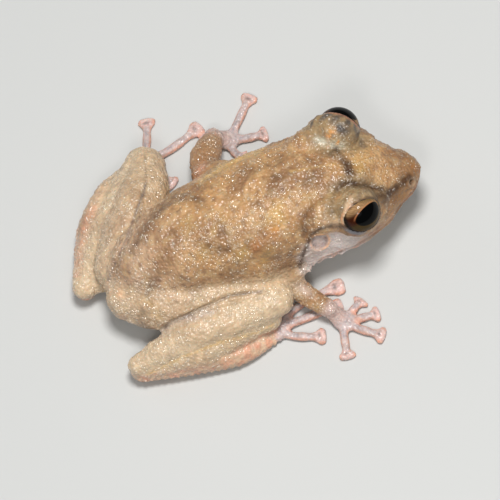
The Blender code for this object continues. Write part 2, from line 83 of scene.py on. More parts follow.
# each station of a limb: x, y, z, half width, half height
LIMBS = {
    1: {
        "upper_arm": [(5.6, 4.6, 6.4, 1.9, 2.0), (2.6, 7.2, 5.6, 1.7, 1.8), (0.4, 8.7, 4.6, 1.4, 1.4)],
        "forearm": [(0.4, 8.8, 4.5, 1.35, 1.35), (1.5, 11.4, 3.3, 1.7, 1.5), (3.1, 13.9, 1.9, 1.1, 1.0)],
        "hand": [(3.1, 13.9, 1.6, 0.9, 0.8), (4.6, 13.4, 0.75, 1.2, 0.75), (5.3, 13.3, 0.6, 0.9, 0.6)],
        "thigh": [(-12.4, 2.0, 5.3, 2.7, 3.0), (-9.3, 5.5, 5.6, 3.1, 3.3), (-6.5, 9.3, 5.3, 2.8, 2.9),
                  (-5.0, 12.0, 4.9, 2.1, 2.2)],
        "shank": [(-5.6, 13.0, 4.4, 1.9, 1.9), (-10.6, 8.1, 4.6, 2.2, 2.2), (-16.7, 2.3, 2.9, 1.45, 1.6)],
        "foot": [(-16.8, 2.7, 1.7, 1.3, 1.6), (-13.8, 8.9, 1.9, 1.5, 1.8), (-8.9, 12.8, 1.4, 1.5, 1.35),
                 (-5.3, 14.9, 0.65, 1.25, 0.65)],
    },
    -1: {
        "upper_arm": [(5.8, -4.6, 6.2, 1.8, 1.9), (5.4, -6.6, 4.8, 1.6, 1.7), (4.9, -7.2, 3.2, 1.3, 1.3)],
        "forearm": [(4.9, -7.3, 3.2, 1.2, 1.2), (6.2, -9.4, 2.7, 1.25, 1.15), (7.8, -11.6, 1.9, 1.0, 0.9)],
        "hand": [(7.8, -11.6, 1.6, 0.85, 0.8), (8.5, -12.9, 0.75, 1.15, 0.75), (8.6, -13.6, 0.6, 0.9, 0.6)],
        "thigh": [(-12.4, -2.2, 5.2, 2.7, 2.9), (-9.0, -4.7, 5.6, 3.1, 3.2), (-3.5, -6.2, 5.5, 2.6, 2.7),
                  (2.6, -8.0, 4.4, 1.9, 2.0)],
        "shank": [(2.6, -9.2, 4.4, 1.8, 1.8), (-5.5, -9.2, 4.7, 2.2, 2.2), (-14.2, -9.4, 2.9, 1.45, 1.6)],
        "foot": [(-14.3, -9.5, 1.7, 1.3, 1.6), (-8.5, -10.9, 1.9, 1.5, 1.8), (-3.5, -11.7, 1.4, 1.6, 1.35),
                 (1.4, -10.7, 0.65, 1.3, 0.65)],
    },
}
# skin pressed together in the folds of a hind leg
PRESSED = {
    1: [[(-6.2, 13.6, 3.2, 1.4, 1.5), (-12.0, 9.6, 3.9, 1.8, 1.9), (-16.4, 3.4, 2.9, 1.4, 1.5)],
        [(-5.8, 12.0, 5.0, 1.5, 1.7), (-9.3, 7.7, 5.3, 1.8, 1.9), (-12.2, 4.6, 4.9, 1.5, 1.7)],
        [(-15.1, 2.4, 2.8, 1.4, 1.6), (-13.4, 4.4, 4.0, 1.7, 2.0), (-11.3, 6.4, 5.0, 1.7, 2.1)]],
    -1: [[(1.2, -10.1, 2.8, 1.3, 1.3), (-6.0, -10.8, 3.5, 1.6, 1.6), (-14.2, -9.6, 2.4, 1.3, 1.3)],
         [(1.5, -8.6, 4.9, 1.4, 1.5), (-5.0, -7.6, 5.4, 1.4, 1.4), (-9.5, -7.0, 5.0, 1.3, 1.3)]],
}
# from the frog towards the camera, and upwards across the plane that faces that way
LOOK = np.array([0, -sin(radians(25)), cos(radians(25))])
OVER = np.array([0, LOOK[2], -LOOK[1]])
# creases on that plane: places, width, depth
CREASES = [
    ([(-11.3, -4.6), (-9.2, -4.2), (-5.8, -4.1), (-2.1, -3.9), (1.4, -4.8)], 0.26, 0.42),
    ([(-6.1, 11.2), (-8.5, 8.5), (-10.4, 6.4), (-12.0, 4.9), (-14.0, 3.0)], 0.24, 0.3),
]
# each digit: the angle at which it leaves the palm or sole, and the place of its tip
FINGERS = {1: [(-100, 5.3, 10.7), (-20, 8.8, 12.5), (45, 8.8, 17.7), (150, 1.7, 15.1)],
           -1: [(25, 11.4, -11.3), (-15, 12.6, -13.6), (-50, 12.2, -16.4), (-105, 7.5, -17.2)]}
TOES = {1: [(-95, -8.9, 9.5), (-75, -5.9, 9.7), (-50, -3.1, 11.0), (0, 2.2, 16.6), (55, -3.2, 19.9)],
        -1: [(110, -2.4, -7.7), (85, 1.9, -6.9), (35, 10.3, -8.7), (0, 9.2, -10.9), (-45, 6.1, -13.6)]}
TOE_BACK = (3.6, 2.0, 0.5, 0.0, 0.3)  # how far behind the tip of the sole each toe starts
print("limbs:", sum(map(len, LIMBS.values())), "digits:", sum(map(len, (*FINGERS.values(), *TOES.values()))))

# %% [markdown]
# ## Curves through the stations
#
# A cubic that never overshoots joins the stations. The spine turns evenly between two places at the neck,
# so a place along it, out to the left and up becomes a point in the room.


# %% Curves, spine and sections
def smooth(at, values, x):
    """Monotone cubic: its slope at a station is the harmonic mean of the slopes on both sides."""
    step = np.diff(at)
    slope = np.diff(values) / step
    before, after = slope[:-1], slope[1:]
    both = before * after > 0
    middle = np.where(both, 2 * before * after / np.where(both, before + after, 1), 0)
    tangent = np.concatenate([slope[:1], middle, slope[-1:]])
    i = np.clip(np.searchsorted(at, x, side="right") - 1, 0, len(step) - 1)
    t = (x - at[i]) / step[i]
    rise = values[i + 1] - values[i]
    a = tangent[i] * step[i] - rise
    b = rise - tangent[i + 1] * step[i]
    return values[i] + t * rise + t * (1 - t) * ((1 - t) * a + t * b)


def ramp(x, low, high):
    """Smooth step: 0 below low, 1 above high, and 3t^2 - 2t^3 between."""
    t = np.clip((x - low) / (high - low), 0, 1)
    return t * t * (3 - 2 * t)


def bell(x, width, at=0.0):
    """Bump: 1 where x is at its middle, and exp(-(distance/width)^2) away from it."""
    return np.exp(-(((x - at) / width) ** 2))


def place(along, out, up):
    """Room point of a place along the spine, out to the left and up."""
    fine = np.linspace(TURN_FROM, TURN_TO, 60)
    bends = -HEAD_TURN * (fine - TURN_FROM) / (TURN_TO - TURN_FROM)
    length = fine[1] - fine[0]
    x = TURN_FROM + np.concatenate([[0], np.cumsum(np.cos(bends[1:]) * length)])
    y = np.concatenate([[0], np.cumsum(np.sin(bends[1:]) * length)])
    heading = -HEAD_TURN * np.clip((along - TURN_FROM) / (TURN_TO - TURN_FROM), 0, 1)
    over, under = np.maximum(along - TURN_TO, 0), np.minimum(along - TURN_FROM, 0)
    inside = np.clip(along, TURN_FROM, TURN_TO)
    px = np.interp(inside, fine, x) + under + over * cos(HEAD_TURN) - np.sin(heading) * out
    py = np.interp(inside, fine, y) - over * sin(HEAD_TURN) + np.cos(heading) * out
    return np.stack([px, py, up + 0 * px], axis=-1)


def squarish(angle, power):
    """(cosine, sine) for a superellipse: each keeps its sign, and its size is raised to a power."""
    c, s = np.cos(angle), np.sin(angle)
    return np.sign(c) * np.abs(c) ** power, np.sign(s) * np.abs(s) ** power


def section(along, angle):
    """(out, up) of the body at an angle from the left widest line over the back: a superellipse."""
    half, top, wide, bottom, narrower = (smooth(BODY[:, 0], BODY[:, i], along) for i in range(1, 6))
    above = np.sin(angle) >= 0
    side, rise = squarish(angle, np.where(above, 2 / 2.5, 2 / 2.2))
    taper = 1 - narrower * np.where(above, rise, 0) ** 2
    return side * half * taper, wide + rise * np.where(above, top - wide, wide - bottom)


def on_body(along, height, side):
    """Point of the body at a height above the widest line, on one side."""
    angles = np.linspace(0, pi / 2, 300)
    out, up = section(along, angles)
    angle = np.interp(height, up, angles)
    out, up = section(along, angle)
    return place(along, side * out, up)


def spot(row, side):
    """Room point of (along, up) on one side of the body, or of (along, out, up) on that side."""
    return on_body(*row, side) if len(row) == 2 else place(row[0], side * row[1], row[2])


print("mid-back stands", round(float(section(2.5, pi / 2)[1]), 1), "mm above the floor")

# %% [markdown]
# ## Rings into surfaces
#
# Every lump of flesh is a stack of rings with a fan at each end. Arrays of points and faces are worked out
# at once, without a loop over the points, and put in one list that becomes a single mesh later.


# %% Surfaces as arrays
def ringed(rings):
    """(points, quads, triangles) of a stack of rings given as rings by sides by 3."""
    count, sides = rings.shape[:2]
    i, j = np.meshgrid(np.arange(count - 1), np.arange(sides), indexing="ij")
    k = (j + 1) % sides
    quads = np.stack([i * sides + j, i * sides + k, (i + 1) * sides + k, (i + 1) * sides + j], axis=-1)
    j = np.arange(sides)
    k, first = (j + 1) % sides, count * sides
    near = np.stack([np.full(sides, first), k, j], axis=-1)
    far = np.stack([np.full(sides, first + 1), first - sides + j, first - sides + k], axis=-1)
    points = np.concatenate([rings.reshape(-1, 3), [rings[0].mean(axis=0)], [rings[-1].mean(axis=0)]])
    return points, quads.reshape(-1, 4), np.concatenate([near, far])


def trunk(rings=200, sides=128):
    """The sections from vent to snout, closest together at both ends."""
    share = (1 - np.cos(np.linspace(0, pi, rings))) / 2
    along = VENT + 0.02 + (SNOUT - VENT - 0.04) * share
    s, a = np.meshgrid(along, np.linspace(0, 2 * pi, sides, endpoint=False), indexing="ij")
    out, up = section(s, a)
    return ringed(place(s, out, up))


def tube(stations, rings=60, sides=40, square=2.0, blunt=1.0):
    """A bent limb with round ends. Each ring is an ellipse across the path through the stations."""
    rows = np.asarray(stations, float)
    reach = np.concatenate([[0], np.cumsum(np.linalg.norm(np.diff(rows[:, :3], axis=0), axis=1))])
    cap = blunt * (rows[[0, -1], 3] + rows[[0, -1], 4]) / 2
    share = (1 - np.cos(np.linspace(0, pi, rings))) / 2
    along = -cap[0] + (reach[-1] + cap.sum()) * (0.002 + 0.996 * share)
    inside = np.clip(along, 0, reach[-1])

    def station(at):
        at = np.clip(at, 0, reach[-1])
        return np.stack([smooth(reach, column, at) for column in rows.T], axis=-1)

    here = station(inside)
    forward = (station(inside + 0.05) - station(inside - 0.05))[:, :3]
    forward /= np.linalg.norm(forward, axis=1)[:, None]
    centre = here[:, :3] + forward * (along - inside)[:, None]
    beyond = np.abs(along - inside) / np.where(along < 0, cap[0], cap[1])
    swell = np.sqrt(np.clip(1 - beyond**2, 0, 1))[:, None, None]
    across = np.cross([0, 0, 1.0], forward)
    across /= np.linalg.norm(across, axis=1)[:, None]
    c, s = squarish(np.linspace(0, 2 * pi, sides, endpoint=False), 2 / square)
    side = c[:, None] * across[:, None] * here[:, 3, None, None]
    rise = s[:, None] * np.cross(forward, across)[:, None] * here[:, 4, None, None]
    return ringed(centre[:, None] + swell * (side + rise))


def ball(rows, sides, gap):
    """Unit directions by cosine and sine of latitude and longitude, up to a gap from both poles."""
    lat, lon = np.meshgrid(np.linspace(gap - pi / 2, pi / 2 - gap, rows),
                           np.linspace(0, 2 * pi, sides, endpoint=False), indexing="ij")
    return np.stack([np.cos(lat) * np.cos(lon), np.cos(lat) * np.sin(lon), np.sin(lat)], axis=-1)


def egg(centre, radii):
    """An ellipsoid: its half sizes times the directions of a ball."""
    return ringed(centre + ball(24, 48, 0.05) * radii)


def eye_frame(side, looks=None):
    """(centre, axis, direction along the slit, direction across it) of the lids' opening or of the pupil."""
    centre = place(EYE_AT[0], side * EYE_AT[1], EYE_AT[2])
    turn, lift = SLIT_LOOKS[side] if looks is None else looks
    heading = -HEAD_TURN + side * turn
    axis = np.array([cos(lift) * cos(heading), cos(lift) * sin(heading), sin(lift)])
    level = np.array([sin(heading), -cos(heading), 0]) * side
    upward = np.cross(level, axis) * side
    slit = level * cos(SLIT_TILT) + upward * sin(SLIT_TILT)
    return centre, axis, slit, np.cross(slit, axis) * side


print("one tube:", len(tube(LIMBS[1]["shank"])[0]), "points")

# %% [markdown]
# ## Fingers and toes
#
# A digit leaves the palm at one angle and bends to its tip. It is thin along the stalk and spreads into the
# wide disc that a tree frog holds on with, cut straight across the front.


# %% Digits
# each station of a digit: share of its length, half width, half height
DIGIT = np.array([
    (0.0, 0.55, 0.5), (0.35, 0.44, 0.42), (0.55, 0.47, 0.44), (0.74, 0.4, 0.38), (0.84, 0.62, 0.4),
    (0.92, 0.96, 0.38), (0.98, 0.9, 0.33),
])
DIGIT_BREADTH = 1.08


def digit_curve(root, angle, tip, t):
    """Quadratic curve that leaves the palm at the angle: the bend is 0.45 of the way out along it."""
    bend = root + 0.45 * np.linalg.norm(tip - root) * np.array([cos(angle), sin(angle)])
    return (1 - t) ** 2 * root + 2 * t * (1 - t) * bend + t**2 * tip


def digit(root, angle, tip):
    """A stalk along its curve, whose last part widens into the disc."""
    plan = digit_curve(root, angle, tip, DIGIT[:, :1])
    height = np.interp(DIGIT[:, 0], (0, 0.2, 0.75, 0.95), (0.7, 0.58, 0.5, 0.36))
    rows = np.column_stack([plan, height, DIGIT[:, 1] * DIGIT_BREADTH, DIGIT[:, 2]])
    return tube(rows, rings=56, sides=28, square=2.3, blunt=0.45)


def digit_plans(side):
    """(root, angle, tip) of every finger and toe of one side."""
    hand, foot = np.array(LIMBS[side]["hand"]), np.array(LIMBS[side]["foot"])
    palm, sole, heel = hand[1, :2], foot[-1, :2], foot[-2, :2]
    back = (heel - sole) / np.linalg.norm(heel - sole)
    rows = [(palm, plan) for plan in FINGERS[side]]
    rows += [(sole + back * TOE_BACK[i], plan) for i, plan in enumerate(TOES[side])]
    for centre, (angle, x, y) in rows:
        angle = radians(angle)
        yield centre + 0.5 * np.array([cos(angle), sin(angle)]), angle, np.array((x, y))


flesh = [trunk()]
for side in SIDES:
    flesh += [tube(rows) for rows in (*LIMBS[side].values(), *PRESSED[side])]
    flesh += [digit(*plan) for plan in digit_plans(side)]
    centre, axis = eye_frame(side)[:2]
    flesh.append(egg(centre - 0.2 * axis * (1, 1, 0) - (0, 0, 0.1), (2.95, 2.8, 2.7)))
    # lumps behind, below, before and around the eye: along, out, up, half sizes
    eggs = [(12.9, side * 4.3, 11.3, (4.2, 2.3, 2.3)), (15.2, side * 4.0, 9.4, (3.8, 2.6, 2.6)),
            (17.3, side * 3.5 - 0.1, 10.3, (2.1, 1.5, 1.5)), (14.2, side * 4.9, 11.2, (1.9, 2.5, 2.3))]
    flesh += [egg(place(*at), radii) for *at, radii in eggs]
flesh.append(egg(place(14.3, 5.3, 11.3), (2.3, 2.8, 2.4)))  # the left lid bulges more behind
print("lumps of flesh:", len(flesh))

# %% [markdown]
# ## One skin
#
# All lumps go into one mesh. A voxel remesh then finds the surface that wraps them, so that limbs grow out
# of the trunk with no seam, and the floor cuts the small flats that the frog rests on.


# %% Pour the skin
def joined(lumps):
    """Points and faces of several surfaces in one list, with the face numbers shifted."""
    points, faces, start = [], [], 0
    for p, quads, triangles in lumps:
        points.append(p)
        faces += (quads + start).tolist() + (triangles + start).tolist()
        start += len(p)
    return np.concatenate(points), faces


def linked(name, data):
    """A new object with this data, in the scene."""
    made = bpy.data.objects.new(name, data)
    bpy.context.scene.collection.objects.link(made)
    return made


def mesh_object(name, points, faces):
    """A piece in the scene from points in millimetres."""
    mesh = bpy.data.meshes.new(name)
    mesh.from_pydata((points * MM).tolist(), [], faces)
    mesh.update()
    return linked(name, mesh)


VOXEL = 0.192  # edge of the wrap's squares; finer ones would take the skin past 200,000 triangles
skin = mesh_object("skin", *joined(flesh))
remesh = skin.modifiers.new("wrap", "REMESH")
remesh.mode, remesh.voxel_size, remesh.adaptivity = "VOXEL", VOXEL * MM, 0
wrapped = bpy.data.meshes.new_from_object(skin.evaluated_get(bpy.context.evaluated_depsgraph_get()))
skin.modifiers.clear()
skin.data = wrapped
print("skin:", len(wrapped.vertices), "points,", len(wrapped.polygons), "quads")

# %% [markdown]
# ## Soft joins
#
# The wrap is sharp where limbs meet. Each point is drawn towards the mean of its neighbours and then pushed
# back a little, which rounds steps without shrinking thin fingers. Shoulders and hips get more of it.


# %% Smooth the joins
def array_of(data, name, kind=np.float32, width=3):
    """Property of all items of a mesh list, one row for each."""
    values = np.empty(len(data) * width, kind)
    data.foreach_get(name, values)
    return values.reshape(-1, width)


edges = array_of(wrapped.edges, "vertices", np.int32, 2)
shape = array_of(wrapped.vertices, "co").astype(float) / MM
degree = np.bincount(edges.ravel(), minlength=len(shape))[:, None]


def neighbours(values):
    """Mean of the values at the points that share an edge with each point."""
    total = np.zeros_like(values)
    for i in range(values.shape[1]):
        total[:, i] = np.bincount(edges[:, 0], values[edges[:, 1], i], len(values))
        total[:, i] += np.bincount(edges[:, 1], values[edges[:, 0], i], len(values))
    return total / degree


def relax(points, share, times, back=-0.53):
    """Taubin smoothing: half the way to the neighbours' mean, then a step of the back share away."""
    for _ in range(times):
        points = points + 0.5 * share * (neighbours(points) - points)
        points = points + back * share * (neighbours(points) - points)
    return points


def near(points, centre, radius):
    """1 at the centre, falling to 0 as a Gaussian of the given radius."""
    return np.exp(-((points - centre) ** 2).sum(axis=1) / radius**2)


shape = relax(shape, 1.0, 8)
joins = np.zeros(len(shape))
for side in SIDES:
    limbs = {kind: np.array(rows)[:, :3] for kind, rows in LIMBS[side].items()}
    thigh, shank, foot = limbs["thigh"], limbs["shank"], limbs["foot"]
    centre, axis = eye_frame(side)[:2]
    spots = [(limbs["upper_arm"][1], 3.0, 1), (thigh[1], 4.0, 1), ((6.5, side * 6.5, 6.0), 3.0, 1),
             (limbs["forearm"][0], 1.6, 1), (limbs["hand"][1], 1.3, 1), (foot[3], 1.5, 1)]
    spots += [((a + b) / 2, 2.6, 0.9) for a, b in zip(shank, foot[2::-1])]
    spots += [((a + b) / 2 + (0, 0, 1.5), 2.8, 0.9) for a, b in zip(shank[:2], thigh[[3, 1]])]
    for at, radius, strength in (*spots, (centre - 1.2 * axis, 3.4, 1.2)):
        joins += strength * near(shape, at, radius)
joins = np.clip(joins, 0, 1)[:, None]
shape = relax(shape, joins, 36, back=-0.28)
print("points relaxed more than by half at joins:", int((joins > 0.5).sum()))

# %% [markdown]
# ## Normals and measuring
#
# A height field moves points along their normals. Distances to a line through a few places tell how far a
# point is from a fold, so that a ridge or groove follows the line.


# %% Tools for height fields
def set_shape(points):
    """Move the skin's points and return its normals there."""
    wrapped.vertices.foreach_set("co", (points * MM).astype(np.float32).ravel())
    wrapped.update()
    return array_of(wrapped.vertices, "normal").astype(float)


def to_line(points, line):
    """Least distance from each point to a line through the given places, and how far along it that is."""
    line = np.asarray(line, float)
    best, where = np.full(len(points), 1e9), np.zeros(len(points))
    total = len(line) - 1
    for i in range(total):
        a, b = line[i], line[i + 1]
        t = np.clip((points - a) @ (b - a) / ((b - a) @ (b - a)), 0, 1)
        away = np.linalg.norm(points - a - t[:, None] * (b - a), axis=1)
        closer = away < best
        best, where = np.where(closer, away, best), np.where(closer, (i + t) / total, where)
    return best, where


def ridge(points, line, width, height):
    """A roll of skin along a line that fades out at both ends."""
    away, where = to_line(points, line)
    return height * bell(away, width) * ramp(where, -0.01, 0.15) * ramp(where, 1.01, 0.85)


normal = set_shape(shape)
print("top of the skin before lids:", round(float(shape[:, 2].max()), 2), "mm")

# %% [markdown]
# ## Lids, eardrum, mouth and folds
#
# Around an eye each point is moved towards the eyeball's centre or away from it. Inside the opening the skin
# dips below the eyeball, outside it lies over it as a lid, and where it crosses the ball is the lid's edge.

# %% Lids
SLIT = {1: np.radians((70, 43)), -1: np.radians((70, 49))}  # half angles along and across
LID_THICK, LID_REAR = 0.37, {1: 0.45, -1: 0.1}  # over the ball, and added behind the opening
LID_GAP, LID_EDGE, DIP = 0.03, 0.06, 0.6  # above the ball, at the lid's edge, and the dip inside it
LIDS_REACH = 4.0  # no lid is further than this from the middle of the ball


def around_eye(points, side):
    """(distance from the eyeball's middle, angle from the opening's axis as a share of its edge, how far
    ahead, how far up)."""
    centre, axis, slit, across = eye_frame(side)
    off = points - centre
    r = np.linalg.norm(off, axis=1)
    u, v, w = off @ slit, off @ across, off @ axis
    round_it = np.arctan2(v, u)
    edge = 1 / np.sqrt((np.cos(round_it) / SLIT[side][0]) ** 2 + (np.sin(round_it) / SLIT[side][1]) ** 2)
    return r, np.arccos(np.clip(w / r, -1, 1)) / edge, u, v


for side in SIDES:
    centre = eye_frame(side)[0]
    r, share, front, lift = around_eye(shape, side)
    dome = EYE_RADIUS + LID_GAP + LID_EDGE * ramp(share, 0.99, 1.07) + LID_THICK * ramp(share, 1.1, 1.8)
    dome += LID_REAR[side] * ramp(share, 1.05, 1.4) * ramp(-front, 0.2, 1.7)
    wanted = dome - DIP * (1 - ramp(share, 0.84, 1.0))
    hold = (1 - ramp(share, 1.3, 1.75)) * (1 - ramp(r, 3.3, 3.9))
    shape += (shape - centre) / r[:, None] * ((wanted - r) * hold)[:, None]
normal = set_shape(shape)
print("lids shaped; the right opening is", round(2 * EYE_RADIUS * sin(SLIT[-1][1]), 1), "mm high")


# %% Eardrums, nostrils and the line of the mouth
def drum_and_hole(points, side):
    """Distances from the middle of an eardrum, with heights counted for less, and of a nostril."""
    drum = (points - on_body(*EARDRUM, side)) * EARDRUM_SQUASH
    return np.linalg.norm(drum, axis=1), np.linalg.norm(points - on_body(*NOSTRIL, side), axis=1)


height = np.zeros(len(shape))
mouth_path = np.linspace(MOUTH[1, 0], SNOUT - 0.15, 14)
mouth_level = smooth(MOUTH[:, 0], MOUTH[:, 1], mouth_path)
mouth_half = smooth(BODY[:, 0], BODY[:, 1], mouth_path)
front = [place(SNOUT, 0.0, mouth_level[-1])]
mouth_line = np.concatenate([place(mouth_path, mouth_half, mouth_level), front,
                             place(mouth_path, -mouth_half, mouth_level)[::-1]])
mouth_away, _ = to_line(shape, mouth_line)
height += 0.1 * bell(mouth_away, 0.3, 0.45) - 0.2 * bell(mouth_away, 0.2)
drums = {}
for side in SIDES:
    r, share, front, lift = around_eye(shape, side)
    height -= 0.2 * bell(r, 0.32, 3.25) * ramp(lift, 0.3, 1.5) * ramp(normal[:, 2], 0.2, 0.6)
    drums[side], hole = drum_and_hole(shape, side)
    height += 0.11 * bell(drums[side], 0.2, 1.1) - 0.12 * (1 - ramp(drums[side], 0.75, 1.0))
    height += 0.16 * bell(hole, 0.28, 0.5) - 0.45 * bell(hole, 0.22)
print("places along the mouth:", len(mouth_line))

# %% Folds and creases
# rolls of skin on each side: places (along, up) on the body or (along, out, up), width, height
ROLLS = [
    ([(13.0, 10.2), (11.4, 11.0), (10.0, 11.0), (8.8, 10.0), (8.0, 8.6), (7.2, 7.0, 7.0)], 0.45, 0.32),
    ([(18.2, 11.0), (20.0, 10.4), (21.6, 9.5)], 0.55, 0.1),
    ([(14.0, 2.2, 13.4), (16.0, 2.0, 13.0), (17.8, 1.9, 12.3)], 0.7, 0.14),
    ([(6.0, 6.2, 11.4), (1.0, 6.2, 11.4), (-5.0, 5.2, 11.0)], 0.7, 0.16),
]
# four wrinkles down each flank, which are rolls of negative height
ROLLS += [([(x, 7.2, 8.6), (x - 0.6, 7.4, 6.6), (x - 1.8, 7.0, 4.4)], 0.32, -0.12)
          for x in (4.0, 1.7, -0.6, -2.9)]
for side in SIDES:
    for rows, width, rise in ROLLS:
        height += ridge(shape, [spot(row, side) for row in rows], width, rise)
    limbs = LIMBS[side]
    knee = np.array(limbs["shank"][0][:3])
    height += 0.16 * near(shape, knee + (0.6, side * 0.8, 0.6), 1.3)
    tendon = [np.array(p[:3]) + (0, side * 1.1, 1.2) for p in limbs["foot"]]
    height += ridge(shape, tendon, 0.35, 0.14)


def flat(points):
    """Places along x and across it on the plane that faces the camera."""
    return np.column_stack([points[:, 0], points @ OVER])


for line, width, depth in CREASES:
    away, where = to_line(flat(shape), line)
    ends = ramp(where, -0.01, 0.1) * ramp(where, 1.01, 0.85)
    height -= depth * bell(away, width) * ends * ramp(normal @ LOOK, 0.15, 0.6)


def beads(points, line, width, height, spacing):
    """Small warts along a line: a ridge times a squared cosine along it, one wart to each spacing."""
    away, where = to_line(points, line)
    count = np.linalg.norm(np.diff(line, axis=0), axis=1).sum() / spacing
    beat = np.cos(pi * count * where + 1.5 * np.sin(5 * where)) ** 2
    return height * bell(away, width) * beat


for side in SIDES:
    foot = np.array(LIMBS[side]["foot"])
    out = np.array([(-0.6, 0.75, 0.2), (-0.6, 0.95, -0.3), (-0.4, 1.0, -0.2), (0, 0.9, 0)])
    edge = foot[:, :3] + 1.4 * out * (1, side, 1)
    height += beads(shape, edge, 0.32, 0.2, 0.75)
    jaw = [spot(row, side) for row in ((7.3, 7.1, 5.2), (9.4, 7.1, 5.3), (12.5, 6.9, 5.6))]
    height += beads(shape, jaw, 0.36, 0.32, 0.8) + 0.45 * near(shape, jaw[0], 0.8)
print("folds raise or lower", int((np.abs(height) > 0.03).sum()), "points")

# %% [markdown]
# ## Uneven flesh
#
# Nothing alive is as even as an ellipse. A sum of a few slanted sine waves of different lengths gives soft
# lumps on trunk and thighs and smaller ones over the whole skin.


# %% Lumps and tubercles
def waves(points, length, seed, count=9):
    """Sum of sine waves in random directions, near -1 to 1."""
    rng = np.random.default_rng(seed)
    ways = rng.normal(size=(count, 3))
    ways *= (2 * pi / length) / np.linalg.norm(ways, axis=1)[:, None]
    return np.sin(points @ ways.T + rng.uniform(0, 2 * pi, count)).sum(axis=1) / np.sqrt(count)


bumpy = ramp(shape[:, 2], 1.1, 2.6)  # 0 on fingers and toes, 1 on the rest of the animal
lids_zone = np.zeros(len(shape))
for side in SIDES:
    r, share, front, lift = around_eye(shape, side)
    lids_zone = np.maximum(lids_zone, (r < LIDS_REACH) * (1 - ramp(share, 1.1, 1.35)))
    soft = (r < 3.4) * (1 - ramp(share, 1.7, 2.1)) * ramp(front, -1.0, 0.2)
    lids_zone = np.maximum(lids_zone, 0.8 * soft)
rough = bumpy * (1 - lids_zone)
rough *= 1 - 0.7 * near(shape, place(18.2, 4.0, 10.4), 1.8)
height += rough * (0.08 * waves(shape, 4.2, 1) + 0.04 * waves(shape, 1.5, 2, 16))
height += rough * 0.018 * waves(shape, 0.8, 3, 24)
shape = shape + normal * height[:, None]
shape[:, 2] = np.maximum(shape[:, 2], 0.0)
normal = set_shape(shape)
print("from", round(float(shape[:, 2].min()), 3), "to", round(float(shape[:, 2].max()), 2), "mm high")

# %% [markdown]
# ## Colours of the skin
#
# The paint is worked out at every point from where it lies. Marks are soft ovals and streaks placed on a
# plane that faces the way the picture looks, and only take hold on skin that faces that way too.


# %% Colours and the tables of marks
def srgb(*values):
    """Linear light of a colour given from 0 to 255 as it looks on a screen."""
    v = np.array(values, float) / 255
    return np.where(v <= 0.04045, v / 12.92, ((v + 0.055) / 1.055) ** 2.4)


def blend(colour, other, share):
    """The colour moved towards the other by a share at each point."""
    return colour + (other - colour) * share[:, None]


def coats(colour, *layers):
    """Blend each (screen colour, share) in turn. A third entry is a factor on that colour's light."""
    for tone, share, *factor in layers:
        colour = blend(colour, srgb(*tone) * factor[0][:, None] if factor else srgb(*tone), share)
    return colour


# soft lines: places (along x, across), width, strength
# dark streaks of the pattern; three of them are painted shade
STREAKS = [
    ([(-3, 8.5), (-2.1, 8.4), (-1.3, 7.8), (-0.7, 7)], 0.4, 0.6),
    ([(0, 4.2), (-0.1, 2.6), (0.3, 1.4), (0.9, 0.9)], 0.5, 0.5),
    ([(3.2, -0.5), (3.6, -1.4), (4.5, -2)], 0.6, 0.5),
    # painted shadow between the left thigh and shank
    ([(-4.9, 14.3), (-5.7, 12), (-7.3, 9.2), (-8.7, 7.6)], 0.14, 0.5),
    # painted shade in the hollow above the right eye's lid
    ([(13, 3.1), (14.9, 3.2), (15.5, 2.5)], 0.4, 0.5),
    ([(4.9, 7.9), (6.8, 8), (9, 8)], 0.5, 0.3),
    # painted shadow in the crease between the trunk and the left thigh
    ([(-10.3, 4.9), (-7.7, 6.8), (-5.6, 8), (-3.5, 8.5), (-1.9, 8.2), (-1, 6.9)], 0.5, 0.55),
]
PALE_STREAKS = [
    ([(-14, -8.5), (-9.5, -8.2), (-5, -8.3), (-0.8, -8.9), (1.2, -8.8)], 0.16, 0.5),
    ([(9.5, 6.4), (11.1, 6), (12.6, 5.7), (14.4, 5.2)], 0.13, 0.5),
    ([(-0.2, 9.3), (2.2, 9.8), (5.1, 10), (7.6, 10.1)], 0.5, 0.6),
]
BLUSH = [([(-17.2, 5), (-15.2, 8.3), (-12.6, 11.2)], 0.6, 0.42),
         ([(-0.3, 10), (0.7, 10.8)], 0.5, 0.5)]
# dark stripes of the head, and painted shade beside its folds
HEAD_STRIPES_AND_PAINTED_SHADE = [
    # painted shadow under the fold above the eardrum
    ([(12.8, -1.7), (11.3, -1), (10.1, -0.8), (9, -1.1), (8.1, -2), (7.2, -2.9), (6.5, -3.8)], 0.26, 1),
    # the dark bar between the eyes
    ([(15.2, 6.7), (15.4, 5.6), (15.5, 4.4), (15.5, 3.4)], 0.45, 0.75),
    # painted shade in the hollow above the right eye's lid
    ([(13.6, 2.6), (14.6, 2.7), (15.6, 2.35), (16.6, 1.75), (17.6, 1), (18.2, 0.6)], 0.4, 0.95),
    # painted shade in the same hollow, behind the lid
    ([(12.1, 0.4), (12.4, 1.3), (13.1, 2.2), (13.8, 2.65)], 0.3, 0.4),
    # the dark stripe from the eye to the nostril
    ([(17.5, 0), (18.7, -0.2), (19.7, 0.15), (20.7, 0.5), (21.6, 0.7)], 0.48, 1),
]
LID_STREAKS = [([(12.9, -1.2), (13.4, -0.3), (13.9, 0.4), (14.6, 1)], 0.25, 0.8),
               ([(11, -0.6), (12, -1)], 0.7, 0.55)]
LID_SILVER = [([(13.8, 8.5), (14.7, 7.6), (16, 6.9)], 0.42, 0.75)]
